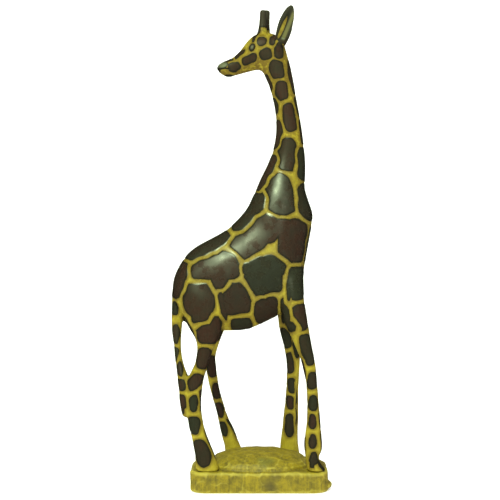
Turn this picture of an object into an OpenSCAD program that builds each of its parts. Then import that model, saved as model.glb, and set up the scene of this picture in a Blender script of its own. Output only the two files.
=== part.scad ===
// Carved wooden giraffe looking back over its shoulder, on a carved base.
// Frame: +X is the way the body faces, +Y its left side, +Z up; the origin is under the base's middle.
// The outlines below are written for a figure 584 high and 86 wide, with heights from the base's top,
// and figure_h and figure_w scale them.

/* [Figure] */
// Height of the figure above the base
figure_h = 584; // [480:1:710]
// Width across the barrel
figure_w = 86; // [70:1:104]
/* [Base] */
// Height of the base at its rim
base_h = 26; // [20:0.5:40]
// Height of the mound above the rim
mound_h = 20; // [8:0.5:30]
// Flat rim left at each end of the mound
mound_margin = 22; // [16:1:30]
// Wood left behind the hind hooves
heel_margin = 7.5; // [5:0.5:20]
// Wood left in front of the front hooves
toe_margin = 3.5; // [3:0.5:20]
// Wood left outside the hooves at each side
side_margin = 2.5; // [2:0.5:20]
// Radius of the two corners on the right side
right_corner_r = 20; // [8:1:20]
// Radius of the two corners on the left side
left_corner_r = 44; // [20:1:46]
// How far the lip at the right front corner stands out
lip_out = 5.5; // [2:0.5:10]
/* [Dowels and pegs] */
// Diameter of the dowel between body and neck
neck_dowel_d = 14; // [8:0.5:18]
// Length of the dowel between body and neck
neck_dowel_l = 56; // [30:1:70]
// Diameter of the dowel between neck and head
head_dowel_d = 8; // [5:0.5:12]
// Length of the dowel between neck and head
head_dowel_l = 34; // [20:1:40]
// Diameter of the dowels between body and legs
leg_dowel_d = 8; // [5:0.5:10]
// Length of the dowels between body and legs
leg_dowel_l = 36; // [20:1:44]
// Diameter of the dowel that pins the tail's scarf joint
tail_dowel_d = 4; // [3:0.5:5]
// Length of the dowel that pins the tail's scarf joint
tail_dowel_l = 15; // [8:0.5:18]
// Diameter of the round tenon under each hoof
tenon_d = 9; // [6:0.5:12]
// Length of the round tenon under each hoof
tenon_l = 14; // [8:0.5:16]
// Diameter of the peg under each horn
horn_peg_d = 5; // [3:0.5:6]
// Length of the peg under each horn
horn_peg_l = 10; // [6:0.5:14]
// Diameter of the peg under each ear
ear_peg_d = 4; // [3:0.5:5]
// Length of the peg under each ear
ear_peg_l = 8; // [5:0.5:10]
// Room for glue around a dowel or peg, in the radius
glue_gap = 0.1; // [0.05:0.05:0.3]
// Room for glue past the end of a dowel or peg
end_gap = 1; // [0.5:0.25:2]

/* [Hidden] */

kh = figure_h / 584; // scales lengths and heights
kw = figure_w / 86;  // scales widths
body_sides = 40;     // points round each ring
neck_sides = 32;
limb_sides = 20;
ear_sides = 16;
big = 4 * figure_h;  // reaches past everything

// Body and neck. Each row is a cut across the wood: the belly, chest and nape side's x and z, then the
// back and throat side's x and z, then the half width.
body_rows = [
    [-111, 214, -110, 236, 12], [-106, 200, -106, 247, 22], [-99, 188, -100, 258, 30],
    [-92, 179.5, -91, 270.5, 35.5], [-79, 174, -78, 280.5, 39], [-60, 171, -60, 290, 42],
    [-36, 170.5, -44, 299, 43], [-12, 173, -32, 309, 43], [8, 182, -23, 318.5, 42.5],
    [33, 195, -16.5, 326.5, 42], [52, 212, -12, 334.5, 41], [57, 238, -8, 344, 40],
    [60.5, 265, -3.5, 353, 38], [65.8, 294, 0.5, 363, 35.5], [69.5, 318, 5.5, 373, 32],
    [64.5, 334, 10.5, 383, 28.5], [58.5, 353, 15.5, 395, 25],
];
neck_rows = [
    [58.5, 353, 15.5, 395, 25], [59.7, 374, 19, 407, 22], [58.8, 396, 21.7, 423, 19.5],
    [55.3, 426, 21.8, 439, 17.5], [51.6, 449, 20, 457, 16], [48, 468, 16.5, 472, 15.2],
    [45.3, 485, 12.5, 486, 14.8],
];
// The head goes on from the neck: nape and forehead side, then throat and jaw side.
head_rows = [
    [45.3, 485, 12.5, 486, 14.8], [42.8, 498, 8.5, 495, 14.6], [39.8, 512, 5.5, 501, 14.5],
    [36, 526, 2.5, 504, 14.5], [32.5, 538, 0, 505, 14.5], [26, 548, -3, 505, 15],
    [14, 553, -6, 504.5, 15], [3, 552.5, -10, 503.5, 14.8], [-7.5, 549, -14, 502.5, 14.6],
    [-16, 541, -18, 501.5, 14], [-23, 531.5, -23, 500, 12], [-29.5, 524.5, -29, 498.5, 10.2],
    [-36, 520, -35, 496.6, 9.3], [-43, 517, -41, 496.2, 9], [-49, 514.5, -46.5, 498.5, 8.4],
    [-53, 511, -51, 502, 6.5], [-54.5, 508, -53.5, 505, 3],
];
// Legs and tail, from the top down: height, rear edge's x, front edge's x, middle's y, half width.
leg_cut = 5; // this row of a leg is its joint with the body
right_hind_rows = [
    [259, -92, -52, -14, 16], [236, -100, -46, -17, 22], [212, -102, -42, -20, 24],
    [189, -95, -42, -23, 21], [174, -87, -46, -25, 18], [162, -80, -51.5, -27, 15],
    [148, -78, -58, -28.5, 12], [132, -81, -63.5, -30, 10.5], [122, -85.5, -66.5, -30.5, 10],
    [110, -91, -69.5, -31, 10], [96, -92.5, -71.5, -32, 10], [82, -92, -72.5, -33, 9.5],
    [69, -90.5, -71.5, -34, 9.5], [54, -88, -68.5, -35, 9.5], [40, -84.5, -64, -36, 10],
    [26, -81.5, -58, -36.5, 11], [15, -80, -54, -37, 12], [7, -79.5, -51, -37, 12.5],
    [0, -79, -49.5, -37, 12.5],
];
left_hind_rows = [
    [259, -92, -52, 14, 16], [236, -100, -46, 17, 22], [212, -100, -42, 20, 24],
    [189, -91, -40, 23, 21], [174, -82, -43, 25, 18], [162, -76.5, -48, 27, 15],
    [148, -73, -53, 28.5, 12], [134, -72, -57, 30, 10], [122, -70.5, -56, 31, 9.5],
    [110, -68.5, -54.5, 32, 9], [96, -65.5, -52.7, 33, 9], [82, -62, -49.4, 34, 9],
    [69, -58, -45.5, 34.5, 9], [54, -54.5, -40.5, 35, 9.5], [40, -51.5, -33.5, 35.5, 10],
    [26, -48.5, -28, 36, 11], [16, -45.5, -24, 36.5, 12], [7, -44.5, -21.5, 36.5, 12.5],
    [0, -44, -20.5, 36.5, 12.5],
];
right_front_rows = [
    [264, 22, 56, -14, 16], [236, 20, 56.5, -18, 20], [212, 24, 57.5, -21, 20],
    [189, 30, 60.5, -23.5, 17.5], [174, 35.5, 62.8, -26, 15.5], [162, 41, 64.7, -27.5, 14],
    [148, 47, 67.3, -29, 12.5], [136, 52, 70, -30, 11], [122, 55.5, 71.5, -31, 10],
    [107, 58.3, 72.8, -32, 9.5], [92, 59.3, 74, -33, 9], [77, 59.5, 75.2, -34, 9],
    [62, 59, 76.3, -34.5, 9], [47, 57, 77.5, -35.5, 9.5], [32, 55.5, 78.6, -36, 10.5],
    [24, 56, 77.8, -36.5, 11], [17, 57, 74.5, -37, 11.5], [11, 58, 75.5, -37, 12],
    [5, 59, 80, -37, 12.5], [0, 59, 83, -37, 12.5],
];
left_front_rows = [
    [264, 24, 55, 14, 16], [236, 23, 55, 18, 20], [212, 23, 55, 21, 20],
    [189, 24, 57, 23.5, 17.5], [174, 26, 57.5, 26, 15], [162, 29, 57.5, 27.5, 13.5],
    [148, 32.5, 56.5, 29, 12], [136, 35, 55, 30, 10.5], [122, 36.5, 54.3, 31, 9.5],
    [107, 36.6, 53.5, 32, 9], [92, 35.8, 52.7, 33, 9], [77, 34.7, 52.7, 34, 9],
    [62, 33, 52.7, 35, 9], [47, 31.5, 52.5, 35.5, 9.5], [32, 29.5, 52, 36, 10],
    [18, 28, 52.5, 36.5, 11.5], [8, 28, 53.5, 36.5, 12.5], [0, 28, 55.5, 36.5, 12.5],
];
tail_rows = [
    [232, -107, -95, -1, 5], [222, -112, -97, -2, 6], [210, -113.5, -97, -3, 6.5],
    [195, -113, -97, -4, 6.5], [179, -112.5, -97.5, -6, 6.5], [165, -110.5, -98.5, -10, 6],
    [153, -108.5, -98.5, -14, 5.5], [140, -107, -97, -19, 5.5], [127, -105, -93.5, -23, 6],
    [116, -103.5, -89, -27, 6.5], [102, -101.5, -88, -30, 7], [86, -100, -87.5, -31, 7],
    [76, -98.5, -88, -31, 6], [69, -97, -89.5, -31, 4.5], [64, -95, -91.5, -31, 2],
];
// The tail's side of this line, seen from the side, is the tail's: down its scarf joint with the
// rump, clear of the thigh, then down the glued flat against the hock.
scarf_top = [-112.5, 226];
scarf_foot = [-97, 184];
hock_top = [-90, 130];

// The right horn's root and tip in x and z. The left horn is set nearer the nape and stands a little
// higher, and the two stand side by side with a gap between their feet.
horn_root = [4, 547.5];
horn_tip = [5.4, 580.5];
left_horn_set = [4.4, 0];
left_horn_rise = [0.4, 3.6];
horn_root_r = 7;
horn_tip_r = 4.7;
horn_gap = 1.2;
horn_splay = 0.8; // how far out of upright a tip leans

// An ear's root and tip on the right side; the left ear is its mirror image
ear_root = [25, -11.4, 535.2];
ear_tip = [41.3, -22, 584];
ear_cup = 3.6; // depth of the hollow in the ear
// Along an ear from its root: share of its length, half width, half thickness
ear_rows = [
    [0, 6, 4], [0.1, 7.8, 3.8], [0.28, 9.6, 3], [0.45, 10.4, 2.5], [0.62, 10, 2.2],
    [0.78, 8.3, 1.9], [0.9, 6.2, 1.5], [1, 2.4, 0.9],
];

// The hooves' places on the base, worked out from the legs' last rows
function last(list) = list[len(list) - 1];
leg_row_sets = [right_front_rows, left_front_rows, right_hind_rows, left_hind_rows];
foot_rear = kh * min([for (rows = leg_row_sets) last(rows)[1]]);
foot_front = kh * max([for (rows = leg_row_sets) last(rows)[2]]);
foot_side = kw * max([for (rows = leg_row_sets) let (r = last(rows)) abs(r[3]) + r[4]]);
base_rear = foot_rear - heel_margin;
base_front = foot_front + toe_margin;
base_l = base_front - base_rear;
base_w = 2 * (foot_side + side_margin);
base_x = (base_front + base_rear) / 2; // the base's middle, in the figure's own frame
base_round = 3;    // how much the rim and the foot of the base are rounded over
corner_steps = 14; // points round each of its corners
lip_half = [14, 18, 6];
lip_y = right_corner_r + 6 - base_w / 2; // its middle, just past the corner's round

// Catmull-Rom curve through a list of rows, with steps new rows for each old one
function between(a, b, c, d, t) =
    (2 * b + (c - a) * t + (2 * a - 5 * b + 4 * c - d) * t * t + (3 * b - a - 3 * c + d) * t * t * t) / 2;
function curve(rows, steps) = [
    for (i = [0:len(rows) - 2], j = [0:steps - 1])
        between(rows[max(i - 1, 0)], rows[i], rows[i + 1], rows[min(i + 2, len(rows) - 1)], j / steps),
    last(rows)
];
function part_of(list, from, to) = [for (i = [from:to]) list[i]];

// A superellipse's cosine or sine: power 2 is a plain ellipse, more is squarer
function squared(v, power) = sign(v) * pow(abs(v), 2 / power);
function ring(a, b, y, w, sides, power = 2) = [
    for (i = [0:sides - 1])
        let (c = squared(cos(360 * i / sides), power), s = squared(sin(360 * i / sides), power))
            [(a[0] + b[0]) / 2 + (a[0] - b[0]) / 2 * c, y + w * s, (a[1] + b[1]) / 2 + (a[1] - b[1]) / 2 * c]
];
function trunk_rings(rows, sides, power) = [
    for (r = curve(rows, 2))
        ring(kh * [r[0], r[1]], kh * [r[2], r[3]], 0, kw * r[4], sides, power)
];
function limb_rings(rows) = [
    for (r = curve(rows, 2)) ring(kh * [r[1], r[0]], kh * [r[2], r[0]], kw * r[3], kw * r[4], limb_sides, 2.2)
];

// Closed skin over a list of rings that all have as many points
module skin(rings) {
    n = len(rings[0]);
    m = len(rings);
    polyhedron(
        points = [for (r = rings, p = r) p],
        faces = concat(
            [[for (j = [0:n - 1]) j]],
            [for (i = [0:m - 2], j = [0:n - 1]) [i * n + j, (i + 1) * n + (j + 1) % n, i * n + (j + 1) % n]],
            [for (i = [0:m - 2], j = [0:n - 1]) [i * n + j, (i + 1) * n + j, (i + 1) * n + (j + 1) % n]],
            [[for (j = [n - 1:-1:0]) (m - 1) * n + j]]
        )
    );
}

// Makes the shapes inside it one skin, at the size that they have
module as_one() {
    resize([0, 0, 0]) union() children();
}

// A straight round bar between two points, with its seam turned clear of the flats it meets
module bar(from, to, d) {
    v = to - from;
    translate(from) rotate([0, acos(v[2] / norm(v)), atan2(v[1], v[0])]) rotate([0, 0, 11])
        cylinder(h = norm(v), d = d, $fn = 48);
}

function unit(v) = v / norm(v);
function mirror_y(p) = [p[0], -p[1], p[2]];
function kscale(p) = [kh * p[0], kw * p[1], kh * p[2]];

// A dowel's two ends: it is centred on the joint at b, and runs the way from a to c
function dowel_ends(a, b, c, l) = let (v = unit(c - a)) [b - v * l / 2, b + v * l / 2];
function row_mid(r) = kh * [(r[0] + r[2]) / 2, 0, (r[1] + r[3]) / 2];
neck_dowel_ends = dowel_ends(
    row_mid(body_rows[len(body_rows) - 2]), row_mid(neck_rows[0]), row_mid(neck_rows[1]), neck_dowel_l
);
head_dowel_ends = dowel_ends(
    row_mid(neck_rows[len(neck_rows) - 2]), row_mid(head_rows[0]), row_mid(head_rows[1]), head_dowel_l
);
scarf_mid = kh * (scarf_top + scarf_foot) / 2;
scarf_dir = unit([scarf_top[1] - scarf_foot[1], scarf_foot[0] - scarf_top[0]]);
tail_dowel_ends = [
    for (side = [-0.35, 0.65])
        [scarf_mid[0] + side * tail_dowel_l * scarf_dir[0], -3 * kw, scarf_mid[1] + side * tail_dowel_l * scarf_dir[1]]
];

// A leg's own line at a height, and its dowel, which follows that line through the joint
function leg_x(rows, z) = lookup(z, [for (r = rows) [r[0], (r[1] + r[2]) / 2]]);
function leg_y(rows, z) = lookup(z, [for (r = rows) [r[0], r[3]]]);
function leg_point(rows, z) = kscale([leg_x(rows, z), leg_y(rows, z), z]);
function leg_dowel_ends(rows) = dowel_ends(
    leg_point(rows, rows[leg_cut + 1][0]), leg_point(rows, rows[leg_cut][0]),
    leg_point(rows, rows[leg_cut - 1][0]), leg_dowel_l
);

// The hole for a dowel or peg, with room for glue
module hole(ends, d) {
    v = unit(ends[1] - ends[0]);
    bar(ends[0] - v * end_gap, ends[1] + v * end_gap, d + 2 * glue_gap);
}

// All that lies on the tail's side of its joints
module tail_side() {
    rotate([90, 0, 0]) linear_extrude(height = big, center = true) polygon([
        [-big, kh * scarf_top[1]], kh * scarf_top, kh * scarf_foot, kh * hock_top,
        [kh * hock_top[0], -1], [-big, -1]
    ]);
}

module leg_stub(rows) {
    skin(part_of(limb_rings(rows), 0, 2 * leg_cut));
}

module leg_shape(rows) {
    rings = limb_rings(rows);
    skin(part_of(rings, 2 * leg_cut, len(rings) - 1));
}

module leg(rows) {
    foot = leg_point(rows, 0);
    color("#8d8430") difference() {
        union() {
            leg_shape(rows);
            bar(foot - [0, 0, tenon_l], foot + [0, 0, tenon_l / 2], tenon_d);
        }
        hole(leg_dowel_ends(rows), leg_dowel_d);
    }
}

module torso() {
    color("#3d3226") difference() {
        as_one() difference() {
            union() {
                skin(trunk_rings(body_rows, body_sides, 2.15));
                for (rows = leg_row_sets) leg_stub(rows);
            }
            tail_side();
        }
        hole(neck_dowel_ends, neck_dowel_d);
        hole(tail_dowel_ends, tail_dowel_d);
        for (rows = leg_row_sets) hole(leg_dowel_ends(rows), leg_dowel_d);
    }
}

module neck() {
    color("#46392a") difference() {
        skin(trunk_rings(neck_rows, body_sides, 2.15));
        hole(neck_dowel_ends, neck_dowel_d);
        hole(head_dowel_ends, head_dowel_d);
    }
}

// A horn's or ear's foot and end on either side
function on_side(p, left) = kscale(left ? mirror_y(p) : p);
function horn_at(p, out, left) = [kh * p[0], (left ? 1 : -1) * (horn_root_r + horn_gap / 2 + out), kh * p[1]];
function horn_foot(left) = horn_at(horn_root + (left ? left_horn_set : [0, 0]), 0, left);
function horn_end(left) = horn_at(horn_tip + (left ? left_horn_set + left_horn_rise : [0, 0]), horn_splay, left);
function ear_foot(left) = on_side(ear_root, left);
function ear_end(left) = on_side(ear_tip, left);

// The ears are let into the head to their own shape; the horns stand in flat round seats
module head() {
    color("#a89c32") difference() {
        as_one() difference() {
            skin(trunk_rings(head_rows, body_sides, 2.15));
            for (left = [false, true]) ear_blade(left);
        }
        hole(head_dowel_ends, head_dowel_d);
        for (left = [false, true]) {
            horn_way = unit(horn_end(left) - horn_foot(left));
            ear_way = unit(ear_end(left) - ear_foot(left));
            bar(horn_foot(left), horn_foot(left) + 2 * horn_root_r * horn_way, 2 * (horn_root_r + glue_gap));
            hole([horn_foot(left) - horn_peg_l * horn_way, horn_foot(left)], horn_peg_d);
            hole([ear_foot(left) - ear_peg_l * ear_way, ear_foot(left)], ear_peg_d);
        }
    }
}

// A blunt tapered horn on its peg
module horn(left) {
    v = horn_end(left) - horn_foot(left);
    h = norm(v);
    color("#3a3024") translate(horn_foot(left)) rotate([0, acos(v[2] / h), atan2(v[1], v[0])]) {
        rotate_extrude($fn = 48) polygon([
            [0, -horn_peg_l], [horn_peg_d / 2, -horn_peg_l], [horn_peg_d / 2, 0], [horn_root_r, 0],
            [horn_root_r * 0.93, h * 0.12], [horn_tip_r * 1.12, h * 0.4], [horn_tip_r, h * 0.7],
            [horn_tip_r, h - 1.2], [horn_tip_r - 1.2, h], [0, h]
        ]);
    }
}

// A leaf-shaped ear, hollowed on its outer face
module ear_blade(left) {
    foot = ear_foot(left);
    along = unit(ear_end(left) - foot);
    side = left ? 1 : -1;
    wide = unit(cross([0, 1, 0], along)) * side;
    out = cross(along, wide);
    spine = norm(ear_end(left) - foot);
    skin([
        for (r = curve(ear_rows, 2)) [
            for (i = [0:ear_sides - 1])
                let (
                    c = cos(360 * i / ear_sides),
                    s = sin(360 * i / ear_sides),
                    hollow = ear_cup * sin(180 * min(1, r[0] * 1.1)) * (1 - c * c)
                ) foot + along * spine * r[0] + wide * r[1] * c + out * (r[2] * s - hollow)
        ]
    ]);
}

module ear(left) {
    foot = ear_foot(left);
    along = unit(ear_end(left) - foot);
    color("#6d6636") union() {
        ear_blade(left);
        bar(foot - along * ear_peg_l, foot + along * 4, ear_peg_d);
    }
}

module tail() {
    color("#4a3f2a") difference() {
        as_one() intersection() {
            skin(limb_rings(tail_rows));
            tail_side();
        }
        hole(tail_dowel_ends, tail_dowel_d);
    }
}

module dowel(ends, d) {
    color("#c2a15e") bar(ends[0], ends[1], d);
}

// The leg that the tail is glued to has a flat at the hock
module right_hind_leg() {
    color("#8d8430") difference() {
        leg(right_hind_rows);
        tail_side();
    }
}

// One ring of the base's outline, drawn in by inset: an arc round each corner, the left side's first
function base_ring(z, inset) = [
    for (q = [0:3], i = [0:corner_steps])
        let (
            r = min(q < 2 ? left_corner_r : right_corner_r, base_w / 2 - base_round),
            end = q == 0 || q == 3 ? 1 : -1,
            side = q < 2 ? 1 : -1,
            a = 90 * (q + i / corner_steps)
        ) [
            end * (base_l / 2 - r) + (r - inset) * cos(a),
            side * (base_w / 2 - r) + (r - inset) * sin(a),
            z
        ]
];
function mound_ring(a) = [
    for (i = [0:39])
        [
            (base_l / 2 - mound_margin) * cos(a) * squared(cos(9 * i), 2.6),
            (base_w / 2 - base_round - 0.5) * cos(a) * squared(sin(9 * i), 2.6),
            base_h + mound_h * sin(a)
        ]
];
function lip_ring(a) = [
    for (i = [0:15])
        [
            base_l / 2 - lip_half[0] + lip_out + lip_half[0] * cos(a) * cos(22.5 * i),
            lip_y + lip_half[1] * cos(a) * sin(22.5 * i),
            lip_half[2] * (1 + sin(a))
        ]
];

// The mound is carved round the hooves, which stand flat on the block with a tenon each
module base() {
    color("#a3982c") difference() {
        as_one() difference() {
            union() {
                skin([
                    base_ring(0, base_round / 2), base_ring(base_round / 2, 0),
                    base_ring(base_h - base_round, 0), base_ring(base_h - base_round / 3, base_round / 3),
                    base_ring(base_h, base_round)
                ]);
                skin([
                    [for (p = mound_ring(0)) [p[0], p[1], base_h - 2]],
                    for (a = [0:12:84]) mound_ring(a), mound_ring(88)
                ]);
                skin([for (a = [-88:22:88]) lip_ring(a)]);
            }
            on_base() for (rows = leg_row_sets) leg_shape(rows);
        }
        on_base() for (rows = leg_row_sets) {
            foot = leg_point(rows, 0);
            hole([foot - [0, 0, tenon_l], foot], tenon_d);
        }
    }
}

// Puts the figure where it stands on the base
module on_base() {
    translate([-base_x, 0, base_h]) children();
}

base();
on_base() torso();
on_base() neck();
on_base() head();
on_base() tail();
on_base() leg(right_front_rows);  // right_front_leg
on_base() leg(left_front_rows);  // left_front_leg
on_base() right_hind_leg();
on_base() leg(left_hind_rows);  // left_hind_leg
on_base() ear(false);  // right_ear
on_base() ear(true);  // left_ear
on_base() horn(false);  // right_horn
on_base() horn(true);  // left_horn
on_base() dowel(neck_dowel_ends, neck_dowel_d);  // neck_dowel
on_base() dowel(head_dowel_ends, head_dowel_d);  // head_dowel
on_base() for (rows = leg_row_sets) dowel(leg_dowel_ends(rows), leg_dowel_d);  // leg_dowels
on_base() dowel(tail_dowel_ends, tail_dowel_d);  // tail_dowel
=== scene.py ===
import math
import random

import bmesh
import bpy
import numpy as np
from mathutils import Matrix, Vector
from mathutils.kdtree import KDTree


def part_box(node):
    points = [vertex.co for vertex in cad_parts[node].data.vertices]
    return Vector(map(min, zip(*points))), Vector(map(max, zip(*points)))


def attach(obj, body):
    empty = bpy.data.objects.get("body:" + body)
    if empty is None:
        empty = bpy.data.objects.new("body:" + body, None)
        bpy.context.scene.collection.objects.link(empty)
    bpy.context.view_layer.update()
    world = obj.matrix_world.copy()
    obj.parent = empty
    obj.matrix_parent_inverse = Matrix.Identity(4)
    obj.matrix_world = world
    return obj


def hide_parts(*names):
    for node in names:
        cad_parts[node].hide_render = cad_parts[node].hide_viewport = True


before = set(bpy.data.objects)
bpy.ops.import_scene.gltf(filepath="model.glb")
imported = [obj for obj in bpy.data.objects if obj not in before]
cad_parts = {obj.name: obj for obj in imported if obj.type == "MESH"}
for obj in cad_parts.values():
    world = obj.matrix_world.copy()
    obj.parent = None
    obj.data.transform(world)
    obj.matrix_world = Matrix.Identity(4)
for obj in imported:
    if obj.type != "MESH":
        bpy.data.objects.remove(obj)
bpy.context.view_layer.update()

mm = 0.001
bpy.context.scene.view_settings.view_transform = "Standard"   # colours come out as they are mixed
print("giraffe: frame loaded,", len(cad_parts), "parts")


def linkObject(name, mesh):
    obj = bpy.data.objects.new(name, mesh)
    bpy.context.collection.objects.link(obj)
    return obj


def gatherParts(name, nodeNames):
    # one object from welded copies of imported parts, which stay as they are
    whole = bmesh.new()
    for nodeName in nodeNames:
        part = bmesh.new()
        part.from_mesh(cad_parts[nodeName].data)
        bmesh.ops.remove_doubles(part, verts=part.verts, dist=0.002 * mm)
        welded = bpy.data.meshes.new("welded")
        part.to_mesh(welded)
        part.free()
        whole.from_mesh(welded)
        bpy.data.meshes.remove(welded)
    mesh = bpy.data.meshes.new(name)
    whole.to_mesh(mesh)
    whole.free()
    return linkObject(name, mesh)


def applyModifiers(obj):
    graph = bpy.context.evaluated_depsgraph_get()
    mesh = bpy.data.meshes.new_from_object(obj.evaluated_get(graph))
    old = obj.data
    obj.modifiers.clear()
    obj.data = mesh
    bpy.data.meshes.remove(old)


def voxelSkin(obj, size):
    skin = obj.modifiers.new("skin", "REMESH")
    skin.mode = "VOXEL"
    skin.voxel_size = size
    applyModifiers(obj)


def readPoints(mesh):
    points = np.empty(len(mesh.vertices) * 3)
    mesh.vertices.foreach_get("co", points)
    return points.reshape(-1, 3)


def readNormals(mesh):
    normals = np.empty(len(mesh.vertices) * 3)
    mesh.vertex_normals.foreach_get("vector", normals)
    return normals.reshape(-1, 3)


def writePoints(mesh, points):
    mesh.vertices.foreach_set("co", np.ascontiguousarray(points, dtype=np.float32).ravel())
    mesh.update()


def ramp(values, low, high):
    # 0 below low, 1 above high, smooth between
    t = np.clip((values - low) / (high - low), 0, 1)
    return t * t * (3 - 2 * t)


def sandedPoints(mesh, rounds, amount):
    points = readPoints(mesh)
    edges = np.empty(len(mesh.edges) * 2, np.int32)
    mesh.edges.foreach_get("vertices", edges)
    a, b = edges.reshape(-1, 2).T
    n = len(points)
    neighbours = np.bincount(a, minlength=n) + np.bincount(b, minlength=n)
    share = 0.5 * (amount / np.maximum(neighbours, 1))[:, None]
    for _ in range(rounds):
        total = np.empty_like(points)
        for axis in range(3):
            total[:, axis] = (np.bincount(a, points[b, axis], n) + np.bincount(b, points[a, axis], n))
        points += share * (total - neighbours[:, None] * points)
    return points


def sandSkin(mesh, rounds, amount):
    # evens out the small flats, as rasp and sandpaper do; amount is 0 to 1 for each point
    writePoints(mesh, sandedPoints(mesh, rounds, amount))


def boxBeyond(at, way):
    # a big block that holds everything on the far side of a plane
    block = bmesh.new()
    bmesh.ops.create_cube(block, size=2.0)
    turn = Vector(way).normalized().to_track_quat("Z", "Y").to_matrix().to_4x4()
    bmesh.ops.transform(block, verts=block.verts, matrix=Matrix.Translation(at) @ turn
                        @ Matrix.Translation((0, 0, 1.0)))
    mesh = bpy.data.meshes.new("block")
    block.to_mesh(mesh)
    block.free()
    return linkObject("block", mesh)


def prism(outline, low, high):
    # a side-view outline (x, z), pushed out from one y to another
    shape = bmesh.new()
    face = shape.faces.new([shape.verts.new((x, low, z)) for x, z in outline])
    pushed = bmesh.ops.extrude_face_region(shape, geom=[face])
    moved = [v for v in pushed["geom"] if isinstance(v, bmesh.types.BMVert)]
    bmesh.ops.translate(shape, verts=moved, vec=(0, high - low, 0))
    bmesh.ops.recalc_face_normals(shape, faces=shape.faces)
    mesh = bpy.data.meshes.new("prism")
    shape.to_mesh(mesh)
    shape.free()
    return linkObject("prism", mesh)


def roundBar(start, end, radius):
    start, end = Vector(start), Vector(end)
    bar = bmesh.new()
    bmesh.ops.create_cone(bar, cap_ends=True, segments=40, radius1=radius, radius2=radius,
                          depth=(end - start).length)
    turn = (end - start).to_track_quat("Z", "Y").to_matrix().to_4x4()
    bmesh.ops.transform(bar, verts=bar.verts, matrix=Matrix.Translation((start + end) / 2) @ turn)
    mesh = bpy.data.meshes.new("bar")
    bar.to_mesh(mesh)
    bar.free()
    return linkObject("bar", mesh)


def carve(obj, tool, how):
    # how is INTERSECT, DIFFERENCE or UNION; the tool is used up
    cut = obj.modifiers.new("cut", "BOOLEAN")
    cut.operation = how
    cut.solver = "MANIFOLD"
    cut.object = tool
    applyModifiers(obj)
    mesh = tool.data
    bpy.data.objects.remove(tool)
    bpy.data.meshes.remove(mesh)


sliver = 0.02 * mm


def dropSlivers(obj):
    # the cuts leave some needle-thin faces along the seams, and folded pairs once those are welded
    shape = bmesh.new()
    shape.from_mesh(obj.data)
    bmesh.ops.dissolve_degenerate(shape, dist=sliver, edges=shape.edges)
    bmesh.ops.remove_doubles(shape, verts=shape.verts, dist=sliver / 20)
    bmesh.ops.triangulate(shape, faces=[f for f in shape.faces if len(f.verts) > 4])
    folded = [f for f in shape.faces if all(set(e.link_faces[0].verts) == set(e.link_faces[-1].verts)
                                            for e in f.edges)]
    bmesh.ops.delete(shape, geom=folded, context="FACES")
    shape.to_mesh(obj.data)
    shape.free()


def copyOf(obj, name):
    return linkObject(name, obj.data.copy())


def seamPlane(nodeName, otherName):
    # the flat where two parts meet: its middle, and its normal towards the first part
    mine = readPoints(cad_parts[nodeName].data)
    other = readPoints(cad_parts[otherName].data)
    tree = KDTree(len(other))
    for i, p in enumerate(other):
        tree.insert(p, i)
    tree.balance()
    shared = np.array([p for p in mine if tree.find(p)[2] < 0.02 * mm])
    middle = shared.mean(axis=0)
    normal = np.linalg.svd(shared - middle)[2][2]
    if np.dot(mine.mean(axis=0) - middle, normal) < 0:
        normal = -normal
    return middle, normal


# A patch is one oval, or a few that run together: (x, z, half width, half height, lean) in mm and degrees,
# as seen from the right side.

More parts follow.
